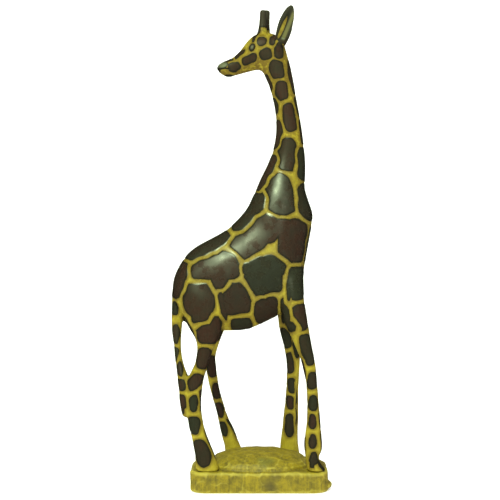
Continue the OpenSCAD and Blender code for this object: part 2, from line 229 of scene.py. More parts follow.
patchPlan = {
    "flank": [   # laid out on the right side, then again freehand on the left
        [(-57, 279, 29, 14, 14), (-39, 281, 16, 19, 0), (-49, 263, 12, 15, 10)],
        [(-11, 312, 29, 17, 40), (6, 328, 20, 17, 0), (15, 322, 14, 10, 45), (29, 331, 12, 10, 0),
         (43, 312, 19, 27, -6)],
        [(5, 266, 24, 25, 0), (19, 281, 16, 12, -20), (-13, 277, 10, 9, 0)],
        [(-75, 238, 19.5, 21, 0), (-72, 224, 13, 18, 0)],
        [(-29, 240, 20, 21, 0), (-46, 232, 5, 20, 10)],
        [(8, 224, 15, 18, 0), (15, 235, 9, 11, 0)],
        [(-22, 207, 13, 10, 0)],
        [(-63, 198, 15, 15, 0), (-56, 207, 9, 11, -20)],
        [(46, 259, 12.5, 21, 0), (36, 245, 4, 14, 0)],
        [(51, 216, 10.5, 16.5, 3)],
        [(33, 222, 6, 18, 8), (42, 206, 9, 8, -35)],
        [(25, 370, 17, 26, 8), (31, 358, 14, 15, 0)],
        [(36, 421, 12, 21, 4), (34, 409, 10, 10, 0)],
        [(-89, 204, 5, 14, 30)],
        [(-101, 263, 10, 24, -16)], [(-66, 306, 31, 11, 28)], [(-12, 348, 30, 12.5, 53)],
        [(58, 364, 10.5, 21, 0), (62, 351, 11, 13, 0)],
    ],
    "neckSide": [
        [(22.5, 530, 9, 13, 8)], [(28.5, 502.5, 8.4, 12.6, 8)], [(38.5, 468, 8.6, 18.6, 7)],
    ],
    "wrapped": [   # round the back and front of the neck, and the breast
        [(66, 307, 8, 24, -10)],
        [(9.5, 398, 26, 7.5, 63)], [(22, 447, 7.5, 18.5, -4)], [(18.5, 484, 6, 11, 0)],
        [(11, 514, 11, 4.4, -68)],
        [(42.5, 521, 5, 22, 10)], [(50, 484, 5, 14.5, 8)], [(55.5, 452, 4.5, 17, 6)], [(55, 409, 9, 21.5, 5)],
    ],
    "head": [
        [(-12.5, 542.5, 10.6, 5.2, 27)], [(-31.5, 533.8, 8, 6, 14)], [(8.5, 549, 8.2, 7.6, 0)],
        [(3.5, 565, 6.4, 6.2, 0)], [(25, 553, 6.2, 10.6, 0)], [(16.5, 566, 4.6, 6, -10)],
    ],
    "nose": [[(-26, 549, 9, 3.0, 40)], [(-38, 542.4, 7, 2.6, 16)], [(-53, 529.5, 4, 3.2, -30)],
             [(-41, 520.8, 11, 3.2, 10)], [(-22, 524.4, 9, 2.2, 10)], [(-5, 572, 2.6, 8, -25)]],
    "right_front_leg": [
        [(59.5, 177, 8.5, 20, 12)], [(66, 137.5, 6.5, 10.5, 0)], [(67, 110.5, 5.6, 10, 0)],
        [(66, 88, 4.4, 9.5, 0)],
        [(66, 62.5, 4.4, 9.2, 0)], [(67, 43, 5, 8, 0), (65.5, 36, 2.6, 7, 0)],
    ],
    "left_front_leg": [
        [(35.5, 186, 6.4, 14, 10), (48.5, 172, 5, 13, 0)], [(41, 153, 5.4, 14.5, 0)], [(43, 123, 5, 10.4, 0)],
        [(41, 100, 5, 9.5, 0)], [(40.3, 70, 5.8, 15.5, 0)],
    ],
    "right_hind_leg": [
        [(-69, 166, 9.4, 14.5, -12)], [(-80.5, 136, 13, 7.6, 47)], [(-81.5, 109.5, 5.8, 10.4, 0)],
        [(-81, 83, 7.4, 11.2, 0)], [(-71, 49, 9.5, 17, 20)],
    ],
    "left_hind_leg": [
        [(-61.5, 148, 6, 14, 4)], [(-55.5, 115, 5.6, 10.4, 10)], [(-51.3, 91, 5, 10.4, 15)],
        [(-46.2, 66, 4.8, 9.8, 15)],
    ],
    "tail": [
        [(-107, 226, 4.6, 9, 0)], [(-106, 194, 5, 12, 0)], [(-106, 168, 4.8, 9.4, 0)],
        [(-99.5, 150, 4, 12, 12)],
        [(-97, 133, 6.4, 8.6, 30)], [(-96.5, 111, 5.6, 9, 0), (-98, 96, 4.6, 11, 0)],
    ],
    "edges": [   # strips round the front and back of the legs
        [(76, 90, 3.6, 11, 0)], [(77, 60, 4.2, 14, 0)], [(55, 152, 2.6, 14, 4)], [(57, 58, 1.8, 9, 0)],
        [(-61.5, 58, 3.2, 19, 22)], [(-73, 113, 2.2, 13, 0)],
    ],
    "farEdges": [[(-33, 64, 2.4, 17, 33)], [(-42.5, 97, 2, 10, 20)], [(49, 95, 1.3, 26, 0)]],
}
zone = {   # heights in mm over which one finish gives way to the next
    "hoof": (31, 42), "grooves": (38, 46), "legDarkening": (150, 210), "wideLines": (180, 210),
    "deepGrooves": (196, 214), "softBody": (205, 235), "polish": (215, 275), "neckDarkening": (370, 430),
    "polishEnd": (375, 425), "softBodyEnd": (375, 420), "neckLines": (395, 440), "deepGroovesEnd": (430, 470),
    "head": (500, 515), "shallowGrooves": (505, 520), "headLines": (510, 530), "jaw": (533, 552),
    "hornFoot": (573, 580), "crown": 575, "chin": 505,
}
patchCorner = {"flank": 2.7, "head": 2.1, "limb": 2.5}   # 2 gives ellipses, more gives squarer patches
patchSlack = {"flank": 1.6, "head": 0.6, "leg": 1.2}   # mm by which the far side's freehand patches stray
noLimit, legReach = 99, 15   # mm out from the middle plane
lineWidth = {"flank": 4.4, "neck": 2.4, "head": 1.5, "leg": 2.6}
grooveDepth = {"flank": 0.6, "limb": 0.35, "head": 0.25}   # mm cut away along the pale lines


def makePatches():
    # each patch: its ovals, side of its middle plane (-1 right, 1 left, 0 both), that plane, how soon
    # it stops there, how far out it reaches, and its tone
    dice = random.Random(24)
    patches = []

    def add(ovals, side, middle, margin, reach, stray=0.0, grow=1.0, lift=0.0, corner="limb", broad=1.0):
        dx, dz = dice.uniform(-stray, stray), dice.uniform(-stray, stray) + lift
        shaped = [(x + dx, z + dz, w * grow * broad, h * grow, math.radians(turn))
                  for x, z, w, h, turn in ovals]
        patches.append((shaped, side, middle, margin, reach, patchCorner[corner], dice.random()))

    for name, margin, grow, corner in (("flank", 4.0, 1.03, "flank"), ("neckSide", 4.0, 1.0, "flank"),
                                       ("head", 2.5, 1.03, "head")):
        for ovals in patchPlan[name]:
            stray = patchSlack["flank" if name == "flank" else "head"]
            add(ovals, -1, 0, margin, noLimit, grow=grow, corner=corner)
            add(ovals, 1, 0, margin, noLimit, stray=stray, grow=grow, corner=corner)
    for name, corner in (("wrapped", "flank"), ("nose", "head")):
        for ovals in patchPlan[name]:
            add(ovals, 0, 0, 5.0, noLimit, corner=corner)
    for name in ("right_front_leg", "left_front_leg", "right_hind_leg", "left_hind_leg", "tail"):
        x, y, z = (readPoints(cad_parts[name].data) / mm).T
        shin = (z > 30) & (z < 185)
        middle = np.polyfit(z[shin], y[shin], 1)   # the legs splay, so their middle plane leans
        for ovals in patchPlan[name]:
            if name == "tail":
                add(ovals, 0, middle, 4.0, 30)
                continue
            add(ovals, -1, middle, 3.0, legReach)
            add(ovals, 1, middle, 2.0, legReach, stray=patchSlack["leg"], grow=1.15, lift=9, broad=1.6)
    for name, middle in (("edges", -22), ("farEdges", 22)):
        for ovals in patchPlan[name]:
            add(ovals, 0, middle, 4.0, legReach)
    return patches


def patchEdges(points, normals, patches):
    # how far each point lies inside the nearest patch, in mm (negative on the pale lines), and its tone
    p = points / mm
    waver = np.stack([np.sin(p @ np.array(k) + shift) for k, shift in (
        ((0.31, 0.19, 0.26), 0.4), ((-0.24, 0.33, 0.17), 2.1), ((0.2, -0.28, 0.35), 4.0))], axis=1)
    x, y, z = (p + 0.55 * waver).T
    n = len(p)
    best, second = np.full(n, 9.0), np.full(n, 9.0)
    bestSlope, secondSlope = np.full(n, 0.1), np.full(n, 0.1)
    tones = np.full(n, 0.5)
    for ovals, side, middle, margin, reach, corner, tone in patches:
        span = 2.2 * max(max(w, h) for _, _, w, h, _ in ovals)
        ox, oz = ovals[0][:2]
        near = np.flatnonzero((np.abs(x - ox) < span + 12) & (np.abs(z - oz) < span + 12))
        if not len(near):
            continue
        off = y[near] - np.polyval(np.atleast_1d(middle), z[near])
        along = side * off if side else np.abs(off)
        stop = np.maximum(along - reach, 0) / margin
        if side:
            stop = np.maximum(stop, np.maximum(margin - along, 0) / margin)
        q, slope = np.full(len(near), 9.0), np.full(len(near), 0.1)
        for ax, az, w, h, turn in ovals:
            c, s = math.cos(turn), math.sin(turn)
            dx, dz = x[near] - ax, z[near] - az
            u, v = np.abs(c * dx + s * dz) / w, np.abs(c * dz - s * dx) / h
            here = (u ** corner + v ** corner + stop ** corner) ** (1 / corner) + 1e-6
            power = corner - 1
            rise = np.sqrt(((u / here) ** power / w) ** 2 + ((v / here) ** power / h) ** 2
                           + ((stop / here) ** power / margin) ** 2)
            closer = here < q
            q, slope = np.where(closer, here, q), np.where(closer, rise, slope)
        oldBest, oldSlope = best[near], bestSlope[near]
        first = q < oldBest
        runnerUp = np.where(first, oldBest, q)
        runnerSlope = np.where(first, oldSlope, slope)
        follows = runnerUp < second[near]
        second[near] = np.where(follows, runnerUp, second[near])
        secondSlope[near] = np.where(follows, runnerSlope, secondSlope[near])
        best[near] = np.where(first, q, oldBest)
        bestSlope[near] = np.where(first, slope, oldSlope)
        tones[near] = np.where(first, tone, tones[near])
    limb = 1 - ramp(p[:, 2], *zone["wideLines"])
    gap = lineWidth["flank"] + (lineWidth["leg"] - lineWidth["flank"]) * limb
    gap += (lineWidth["neck"] - gap) * ramp(p[:, 2], *zone["neckLines"])
    gap += (lineWidth["head"] - gap) * ramp(p[:, 2], *zone["headLines"])
    # the plan is a side view, so its lines are evened up on surfaces seen end on
    gap *= 1 - 0.8 * ramp(np.abs(normals[:, 0]), 0.55, 0.95)
    toLine = (second - best) / (bestSlope + secondSlope) - gap / 2
    toEdge = (1 - best) / bestSlope + 0.6
    soft = 0.9   # mm over which corners round off
    low, high = np.minimum(toLine, toEdge), np.maximum(toLine, toEdge)
    return low - soft * np.log1p(np.exp(np.clip(-(high - low) / soft, -30, 0))), tones


def storeValues(mesh, name, values):
    layer = mesh.attributes.new(name, "FLOAT", "POINT")
    layer.data.foreach_set("value", values.astype(np.float32))


figureNodes = ["torso", "neck", "head", "tail", "right_front_leg", "left_front_leg", "right_hind_leg",
               "left_hind_leg"]
trimNodes = ["right_ear", "left_ear", "right_horn", "left_horn"]
figureSkin = {"voxel": 1.15 * mm, "sanding": 75}
headSkin = {"voxel": 0.6 * mm, "sanding": 44}

bodySkin = gatherParts("bodySkin", figureNodes + trimNodes)
voxelSkin(bodySkin, figureSkin["voxel"])
height = readPoints(bodySkin.data)[:, 2] / mm
softest = ramp(height, *zone["softBody"]) * (1 - ramp(height, *zone["softBodyEnd"]))
sandSkin(bodySkin.data, figureSkin["sanding"], 0.2 + 0.8 * softest)
print("giraffe: body skin,", len(bodySkin.data.polygons), "faces")

fineSkin = gatherParts("fineSkin", ["head", "neck"] + trimNodes)
voxelSkin(fineSkin, headSkin["voxel"])
sandSkin(fineSkin.data, headSkin["sanding"], np.ones(len(fineSkin.data.vertices)))
print("giraffe: head skin,", len(fineSkin.data.polygons), "faces")

patches = makePatches()


def cutPatches(obj):
    # the pale lines are a shallow cut through the dark stain
    mesh = obj.data
    points, normals = readPoints(mesh), readNormals(mesh)
    edge, _ = patchEdges(points, normals, patches)
    z = points[:, 2] / mm
    onTorso = ramp(z, *zone["deepGrooves"]) * (1 - ramp(z, *zone["deepGroovesEnd"]))
    onHead = ramp(z, *zone["shallowGrooves"])
    depth = grooveDepth["limb"] + (grooveDepth["flank"] - grooveDepth["limb"]) * onTorso
    depth += (grooveDepth["head"] - depth) * onHead
    aboveBase = ramp(z, *zone["grooves"])
    points -= normals * (depth * mm * aboveBase * (1 - ramp(edge, -0.9, 1.2)))[:, None]
    writePoints(mesh, points)


cutPatches(bodySkin)
cutPatches(fineSkin)

# face: everything is (x, z) seen from the side, in mm
face = {
    "eyeAt": (-9, 557.5), "eyeHalf": (3.7, 5.4), "eyeTurn": -20, "eyeRise": 0.8, "lidCut": 0.6,
    "browAt": (-10, 565.5), "browHalf": (8.0, 3.0), "browTurn": 25, "browRise": 1.1,
    "cheekAt": (-15.5, 553), "cheekHalf": (5.5, 3.6), "cheekRise": 1.2,
    "mouth": [(-55, 529.8), (-49, 531.2), (-43, 532), (-38, 531)], "mouthCut": 0.9, "mouthWidth": 0.9,
    "nostrilAt": (-49.5, 537), "nostrilHalf": (1.8, 1.0), "nostrilCut": 0.8,
}


def faceOval(x, z, at, half, turn):
    c, s = math.cos(math.radians(turn)), math.sin(math.radians(turn))
    dx, dz = x - at[0], z - at[1]
    return np.sqrt(((c * dx + s * dz) / half[0]) ** 2 + ((c * dz - s * dx) / half[1]) ** 2)


def lineDistance(x, z, line):
    nearest = np.full(len(x), 99.0)
    for (ax, az), (bx, bz) in zip(line, line[1:]):
        length = (bx - ax) ** 2 + (bz - az) ** 2
        t = np.clip(((x - ax) * (bx - ax) + (z - az) * (bz - az)) / length, 0, 1)
        nearest = np.minimum(nearest, np.hypot(x - ax - t * (bx - ax), z - az - t * (bz - az)))
    return nearest


def carveFace(obj):
    mesh = obj.data
    points, normals = readPoints(mesh), readNormals(mesh)
    x, y, z = (points / mm).T
    onHead = z > zone["chin"]
    sideways = ramp(np.abs(normals[:, 1]), 0.15, 0.5) * onHead
    brow = faceOval(x, z, face["browAt"], face["browHalf"], face["browTurn"])
    cheek = faceOval(x, z, face["cheekAt"], face["cheekHalf"], 50)
    rise = face["browRise"] * (1 - ramp(brow, 0.2, 1.0)) + face["cheekRise"] * (1 - ramp(cheek, 0.1, 1.0))
    eye = faceOval(x, z, face["eyeAt"], face["eyeHalf"], face["eyeTurn"])
    rise += face["eyeRise"] * np.sqrt(np.clip(1 - eye ** 2, 0, 1))
    rise -= face["lidCut"] * (1 - ramp(np.abs(eye - 1.12), 0.0, 0.22))
    nostril = faceOval(x, z, face["nostrilAt"], face["nostrilHalf"], 35)
    rise -= face["nostrilCut"] * (1 - ramp(nostril, 0.3, 1.2))
    points += normals * (mm * sideways * rise)[:, None]
    inMouth = face["mouthCut"] * (1 - ramp(lineDistance(x, z, face["mouth"]), 0.2, face["mouthWidth"]))
    points -= normals * (mm * inMouth * onHead)[:, None]
    writePoints(mesh, points)


carveFace(fineSkin)
print("giraffe: patches, eyes and mouth cut")


def hexColour(code):
    # sRGB hex to the linear colour that a shader wants
    channels = [int(code[i:i + 2], 16) / 255 for i in (1, 3, 5)]
    return [c / 12.92 if c <= 0.04045 else ((c + 0.055) / 1.055) ** 2.4 for c in channels] + [1.0]


def addNode(tree, kind, settings=None, links=None):
    node = tree.nodes.new(kind)
    for key, value in (settings or {}).items():
        if isinstance(key, int) or key in node.inputs:
            node.inputs[key].default_value = value
        else:
            setattr(node, key, value)
    for key, source in (links or {}).items():
        tree.links.new(source, node.inputs[key])
    return node


def newMaterial(name):
    material = bpy.data.materials.new(name)
    material.use_nodes = True
    material.node_tree.nodes.clear()
    return material, material.node_tree


def addGrainPlace(tree, place, wood):
    # stretches the pattern along the upright grain
    across, along = 1 / (wood["grainWidth"] * mm), 1 / (wood["grainLength"] * mm)
    return addNode(tree, "ShaderNodeMapping", {"Scale": (across, across, along)}, {"Vector": place})


stainedWood = {   # jacaranda, stained dark, scraped pale along the lines and waxed
    "pale": "#BBA834", "paleDeep": "#8E7C22", "bleed": "#66521F",
    "heart": "#38241D", "rim": "#1F1D15", "olive": "#2A2B20", "rubbedAndSheen": "#7E8468",
    # the rubbed colour is thinned stain lightened to the greenish tint of the wax's sheen, a painted
    # highlight where it is laid on
    "grainWidth": 0.9, "grainLength": 26, "mottle": 11, "smudge": 4.5, "nick": 2.6, "pores": 0.12,   # mm
    "paleRough": 0.55, "darkRough": 0.5, "wax": 1.0, "waxRough": 0.29,
}
earWood = dict(stainedWood, pale="#B4AC3A", paleDeep="#8C8430", heart="#3B3226", rim="#1F1E16",
               olive="#34322A", rubbedAndSheen="#5C5838")


def makeStainedWood(name, wood):
    # waxed carving: the dark patches mirror the window softly, the bare lines stay dry and yellow
    material, tree = newMaterial(name)
    place = addNode(tree, "ShaderNodeTexCoord").outputs["Object"]
    edge = addNode(tree, "ShaderNodeAttribute", {"attribute_name": "spot"}).outputs["Fac"]
    tone = addNode(tree, "ShaderNodeAttribute", {"attribute_name": "tone"}).outputs["Fac"]
    rubAndSheen = addNode(tree, "ShaderNodeAttribute", {"attribute_name": "rubAndSheen"}).outputs["Fac"]
    waxed = addNode(tree, "ShaderNodeAttribute", {"attribute_name": "waxed"}).outputs["Fac"]
    paleDarkening = addNode(tree, "ShaderNodeAttribute", {"attribute_name": "paleDarkening"}).outputs["Fac"]
    nicks = addNode(tree, "ShaderNodeTexNoise", {"Scale": 1 / (wood["nick"] * mm), "Detail": 2.0},
                    {"Vector": place})
    ragged = addNode(tree, "ShaderNodeMath", {"operation": "MULTIPLY_ADD", 1: 1.1, 2: -0.55},
                     {0: nicks.outputs["Fac"]})
    cutEdge = addNode(tree, "ShaderNodeMath", {"operation": "ADD"}, {0: edge, 1: ragged.outputs[0]})
    dark = addNode(tree, "ShaderNodeMapRange", {"interpolation_type": "SMOOTHSTEP", "From Min": -0.3,
                   "From Max": 0.35}, {"Value": cutEdge.outputs[0]})
    inner = addNode(tree, "ShaderNodeMapRange", {"interpolation_type": "SMOOTHSTEP", "From Min": 0.3,
                    "From Max": 3.2}, {"Value": cutEdge.outputs[0]})
    bleed = addNode(tree, "ShaderNodeMapRange", {"interpolation_type": "SMOOTHSTEP", "From Min": -4.4,
                    "From Max": 0.3, "To Max": 0.85}, {"Value": cutEdge.outputs[0]})
    fibres = addGrainPlace(tree, place, wood)
    grain = addNode(tree, "ShaderNodeTexNoise", {"Scale": 1.0, "Detail": 5.0, "Roughness": 0.62,
                    "Distortion": 0.35}, {"Vector": fibres.outputs[0]})
    cloud = addNode(tree, "ShaderNodeTexNoise", {"Scale": 1 / (wood["mottle"] * mm), "Detail": 3.0},
                    {"Vector": place})
    pale = addNode(tree, "ShaderNodeMix", {"data_type": "RGBA", 6: hexColour(wood["paleDeep"]),
                   7: hexColour(wood["pale"])}, {0: cloud.outputs["Fac"]})
    paleGrain = addNode(tree, "ShaderNodeMapRange", {"From Min": 0.38, "From Max": 0.72, "To Max": 0.35},
                        {"Value": grain.outputs["Fac"]})
    paleLined = addNode(tree, "ShaderNodeMix", {"data_type": "RGBA", 7: hexColour(wood["bleed"])},
                        {0: paleGrain.outputs[0], 6: pale.outputs[2]})
    paleBled = addNode(tree, "ShaderNodeMix", {"data_type": "RGBA", 7: hexColour(wood["bleed"])},
                       {0: bleed.outputs[0], 6: paleLined.outputs[2]})
    smudge = addNode(tree, "ShaderNodeTexNoise", {"Scale": 1 / (wood["smudge"] * mm), "Detail": 3.0,
                     "Distortion": 0.6}, {"Vector": place})
    smudged = addNode(tree, "ShaderNodeMapRange", {"From Min": 0.36, "From Max": 0.64, "To Min": 0.35,
                    "To Max": 1.7}, {"Value": smudge.outputs["Fac"]})
    # this darkening, broken up by the smudge noise, dims the pale wood; on the lower head it is painted shade
    darkening = addNode(tree, "ShaderNodeMath", {"operation": "MULTIPLY", "use_clamp": True},
                   {0: smudged.outputs[0], 1: paleDarkening})
    paleDarkened = addNode(tree, "ShaderNodeMix", {"data_type": "RGBA", 7: hexColour(wood["bleed"])},
                        {0: darkening.outputs[0], 6: paleBled.outputs[2]})
    uneven = addNode(tree, "ShaderNodeMath", {"operation": "MULTIPLY_ADD", 1: 1.1, 2: -0.55},
                     {0: cloud.outputs["Fac"]})
    cast = addNode(tree, "ShaderNodeMath", {"operation": "ADD", "use_clamp": True},
                   {0: uneven.outputs[0], 1: tone})
    heart = addNode(tree, "ShaderNodeMix", {"data_type": "RGBA", 6: hexColour(wood["heart"]),
                    7: hexColour(wood["olive"])}, {0: cast.outputs[0]})
    stain = addNode(tree, "ShaderNodeMix", {"data_type": "RGBA", 6: hexColour(wood["rim"])},
                    {0: inner.outputs[0], 7: heart.outputs[2]})
    darkGrain = addNode(tree, "ShaderNodeMapRange", {"From Min": 0.3, "From Max": 0.75, "To Min": 0.0,
                        "To Max": 0.55}, {"Value": grain.outputs["Fac"]})
    darkLined = addNode(tree, "ShaderNodeMix", {"data_type": "RGBA", 7: hexColour(wood["rim"])},
                        {0: darkGrain.outputs[0], 6: stain.outputs[2]})
    # thin stain with a painted greenish sheen
    thinStainAndSheen = addNode(tree, "ShaderNodeMix", {"data_type": "RGBA", 7: hexColour(wood["rubbedAndSheen"])},
                         {0: rubAndSheen, 6: darkLined.outputs[2]})
    colour = addNode(tree, "ShaderNodeMix", {"data_type": "RGBA"},
                     {0: dark.outputs[0], 6: paleDarkened.outputs[2], 7: thinStainAndSheen.outputs[2]})
    rough = addNode(tree, "ShaderNodeMapRange", {"To Min": wood["paleRough"], "To Max": wood["darkRough"]},
                    {"Value": dark.outputs[0]})
    handled = addNode(tree, "ShaderNodeMath", {"operation": "MULTIPLY_ADD", 1: 0.16},
                      {0: cloud.outputs["Fac"], 2: rough.outputs[0]})
    evened = addNode(tree, "ShaderNodeMath", {"operation": "SUBTRACT", 1: 0.08}, {0: handled.outputs[0]})
    bump = addNode(tree, "ShaderNodeBump", {"Strength": 0.35, "Distance": wood["pores"] * mm},
                   {"Height": grain.outputs["Fac"]})
    coat = addNode(tree, "ShaderNodeMath", {"operation": "MULTIPLY", 1: wood["wax"]}, {0: waxed})
    smeared = addNode(tree, "ShaderNodeMapRange", {"From Min": 0.35, "From Max": 0.65,
                      "To Min": wood["waxRough"] - 0.07, "To Max": wood["waxRough"] + 0.1},
                      {"Value": cloud.outputs["Fac"]})
    shader = addNode(tree, "ShaderNodeBsdfPrincipled", {"IOR": 1.45, "Specular IOR Level": 0.06,
                     "Coat IOR": 1.5},
                     {"Base Color": colour.outputs[2], "Roughness": evened.outputs[0],
                      "Normal": bump.outputs[0], "Coat Weight": coat.outputs[0],
                      "Coat Roughness": smeared.outputs[0]})
    addNode(tree, "ShaderNodeOutputMaterial", {}, {"Surface": shader.outputs[0]})
    return material


baseWood = {   # the same timber bare from the chisel, only brushed with wax
    "light": "#9A8413", "deep": "#605317", "stain": "#4C422A", "green": "#62642E",
    "edgeWearHighlight": "#C2B048", "paintedLightYellow": "#B59E1A",
    "grainWidth": 2.4, "grainLength": 40, "mottle": 9, "flecks": 2.8, "pores": 0.25, "rough": 0.56,
    "blots": [   # x, y, z and reach in mm, then which colour and how strong
        (12, -52, 10, 12, "stain", 0.6), (20, -52, 22, 9, "stain", 0.55), (17, -52, 4, 9, "stain", 0.5),
        (6, -40, 34, 11, "green", 0.6), (14, -38, 38, 8, "green", 0.5), (2, -36, 38, 8, "green", 0.45),
        # these two blots are painted light: the left end of the base is made lighter as if lit from the left
        (-98, -34, 14, 17, "paintedLightYellow", 0.8), (-90, -44, 20, 12, "paintedLightYellow", 0.5),
    ],
}


def makeBaseWood(name, wood):
    # bare chiselled wood: uneven yellow with grubby blotches, dull, with a painted highlight on its ridges
    # and painted shade in its hollows
    material, tree = newMaterial(name)
    place = addNode(tree, "ShaderNodeTexCoord").outputs["Object"]
    fibres = addGrainPlace(tree, place, wood)
    grain = addNode(tree, "ShaderNodeTexNoise", {"Scale": 1.0, "Detail": 6.0, "Roughness": 0.6,
                    "Distortion": 0.5}, {"Vector": fibres.outputs[0]})
    cloud = addNode(tree, "ShaderNodeTexNoise", {"Scale": 1 / (wood["mottle"] * mm), "Detail": 4.0,
                    "Roughness": 0.6}, {"Vector": place})
    flecks = addNode(tree, "ShaderNodeTexNoise", {"Scale": 1 / (wood["flecks"] * mm), "Detail": 4.0,
                     "Roughness": 0.7}, {"Vector": place})
    cloudy = addNode(tree, "ShaderNodeMix", {"data_type": "FLOAT", 0: 0.4},
                     {2: cloud.outputs["Fac"], 3: flecks.outputs["Fac"]})
    both = addNode(tree, "ShaderNodeMath", {"operation": "MULTIPLY_ADD", 1: 0.55},
                   {0: grain.outputs["Fac"], 2: cloudy.outputs[0]})
    amount = addNode(tree, "ShaderNodeMapRange", {"From Min": 0.6, "From Max": 0.95},
                     {"Value": both.outputs[0]})
    colour = addNode(tree, "ShaderNodeMix", {"data_type": "RGBA", 6: hexColour(wood["light"]),
                     7: hexColour(wood["deep"])}, {0: amount.outputs[0]})
    for x, y, z, reach, tint, strength in wood["blots"]:
        away = addNode(tree, "ShaderNodeVectorMath", {"operation": "DISTANCE", 1: (x * mm, y * mm, z * mm)},
                       {0: place})
        blurred = addNode(tree, "ShaderNodeMath", {"operation": "MULTIPLY_ADD", 1: 1.3 * reach * mm},
                          {0: both.outputs[0], 2: away.outputs["Value"]})
        spread = addNode(tree, "ShaderNodeMapRange", {"interpolation_type": "SMOOTHSTEP",
                         "From Min": 2.1 * reach * mm, "From Max": 1.0 * reach * mm, "To Max": strength},
                         {"Value": blurred.outputs[0]})
        colour = addNode(tree, "ShaderNodeMix", {"data_type": "RGBA", 7: hexColour(wood[tint])},
                         {0: spread.outputs[0], 6: colour.outputs[2]})
    # ridges are lightened, partly edge wear and partly a painted highlight; hollows take the stain colour as
    # painted shade
    ridge = addNode(tree, "ShaderNodeAttribute", {"attribute_name": "ridge"}).outputs["Fac"]
    high = addNode(tree, "ShaderNodeMapRange", {"From Min": 0.04, "From Max": 0.2, "To Max": 0.6},
                   {"Value": ridge})
    low = addNode(tree, "ShaderNodeMapRange", {"From Min": -0.05, "From Max": -0.35, "To Max": 0.5},
                  {"Value": ridge})
    shadedHollows = addNode(tree, "ShaderNodeMix", {"data_type": "RGBA", 7: hexColour(wood["stain"])},
                       {0: low.outputs[0], 6: colour.outputs[2]})
    colour = addNode(tree, "ShaderNodeMix", {"data_type": "RGBA", 7: hexColour(wood["edgeWearHighlight"])},
                     {0: high.outputs[0], 6: shadedHollows.outputs[2]})
    bump = addNode(tree, "ShaderNodeBump", {"Strength": 0.5, "Distance": wood["pores"] * mm},
                   {"Height": grain.outputs["Fac"]})
    shader = addNode(tree, "ShaderNodeBsdfPrincipled", {"IOR": 1.4, "Roughness": wood["rough"],
                     "Coat Weight": 0.05, "Coat Roughness": 0.4},
                     {"Base Color": colour.outputs[2], "Normal": bump.outputs[0]})
    addNode(tree, "ShaderNodeOutputMaterial", {}, {"Surface": shader.outputs[0]})
    return material


dowelWood = {"light": "#CDAA6C", "deep": "#A8814A", "grainWidth": 0.5, "grainLength": 14, "rough": 0.6}


def makeDowelWood(name, wood):
    # plain turned hardwood: even, with fine short flecks
    material, tree = newMaterial(name)
    place = addNode(tree, "ShaderNodeTexCoord").outputs["Object"]
    fibres = addGrainPlace(tree, place, wood)
    grain = addNode(tree, "ShaderNodeTexNoise", {"Scale": 1.0, "Detail": 4.0}, {"Vector": fibres.outputs[0]})
    colour = addNode(tree, "ShaderNodeMix", {"data_type": "RGBA", 6: hexColour(wood["light"]),
                     7: hexColour(wood["deep"])}, {0: grain.outputs["Fac"]})
    shader = addNode(tree, "ShaderNodeBsdfPrincipled", {"Roughness": wood["rough"]},
                     {"Base Color": colour.outputs[2]})
    addNode(tree, "ShaderNodeOutputMaterial", {}, {"Surface": shader.outputs[0]})
    return material


waxedStain = makeStainedWood("waxedStainedWood", stainedWood)
waxedEar = makeStainedWood("waxedEarWood", earWood)
chiselled = makeBaseWood("chiselledYellowWood", baseWood)
turned = makeDowelWood("turnedDowelWood", dowelWood)


def finishPiece(obj, node, material):
    obj.name = node + "_carved"
    obj.data.materials.clear()
    obj.data.materials.append(material)
    obj.data.polygons.foreach_set("use_smooth", np.ones(len(obj.data.polygons), bool))
    obj.data.set_sharp_from_angle(angle=math.radians(50))   # the seam faces stay crisp
    obj.data.update()
    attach(obj, "root")
    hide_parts(node)


earPaint = {"foot": (23, 566), "tip": (42, 610), "streakAt": -0.3, "streakHalf": 2.2, "streakFrom": 3,
            "streakTop": 31, "bandAt": 5.8, "bandHalf": 2.4, "bandTop": 43}   # mm, in side view


def paintEar(x, z):
    # dark leaf with a bare streak up the hollow and a rubbed band beside it
    foot, tip = np.array(earPaint["foot"]), np.array(earPaint["tip"])
    way = (tip - foot) / np.linalg.norm(tip - foot)
    along = (x - foot[0]) * way[0] + (z - foot[1]) * way[1]
    across = (x - foot[0]) * way[1] - (z - foot[1]) * way[0]
    middle = (earPaint["streakFrom"] + earPaint["streakTop"]) / 2
    half = earPaint["streakTop"] - middle
    dark = (np.hypot((along - middle) / half, (across - earPaint["streakAt"]) / earPaint["streakHalf"]) - 1)
    dark *= earPaint["streakHalf"] * 1.3
    band = ramp(-np.abs(across - earPaint["bandAt"]), -earPaint["bandHalf"] - 1, -earPaint["bandHalf"] + 1.5)
    band *= ramp(along, 2, 9) * (1 - ramp(along, earPaint["bandTop"] - 6, earPaint["bandTop"]))
    return np.minimum(dark, 4.0), band, along


earFront = 17   # mm; horns stand in front of this, ears behind it


def paintHorn(x, z):
    return np.maximum((z - 583) * 0.8, (2.0 - x) * 1.2)


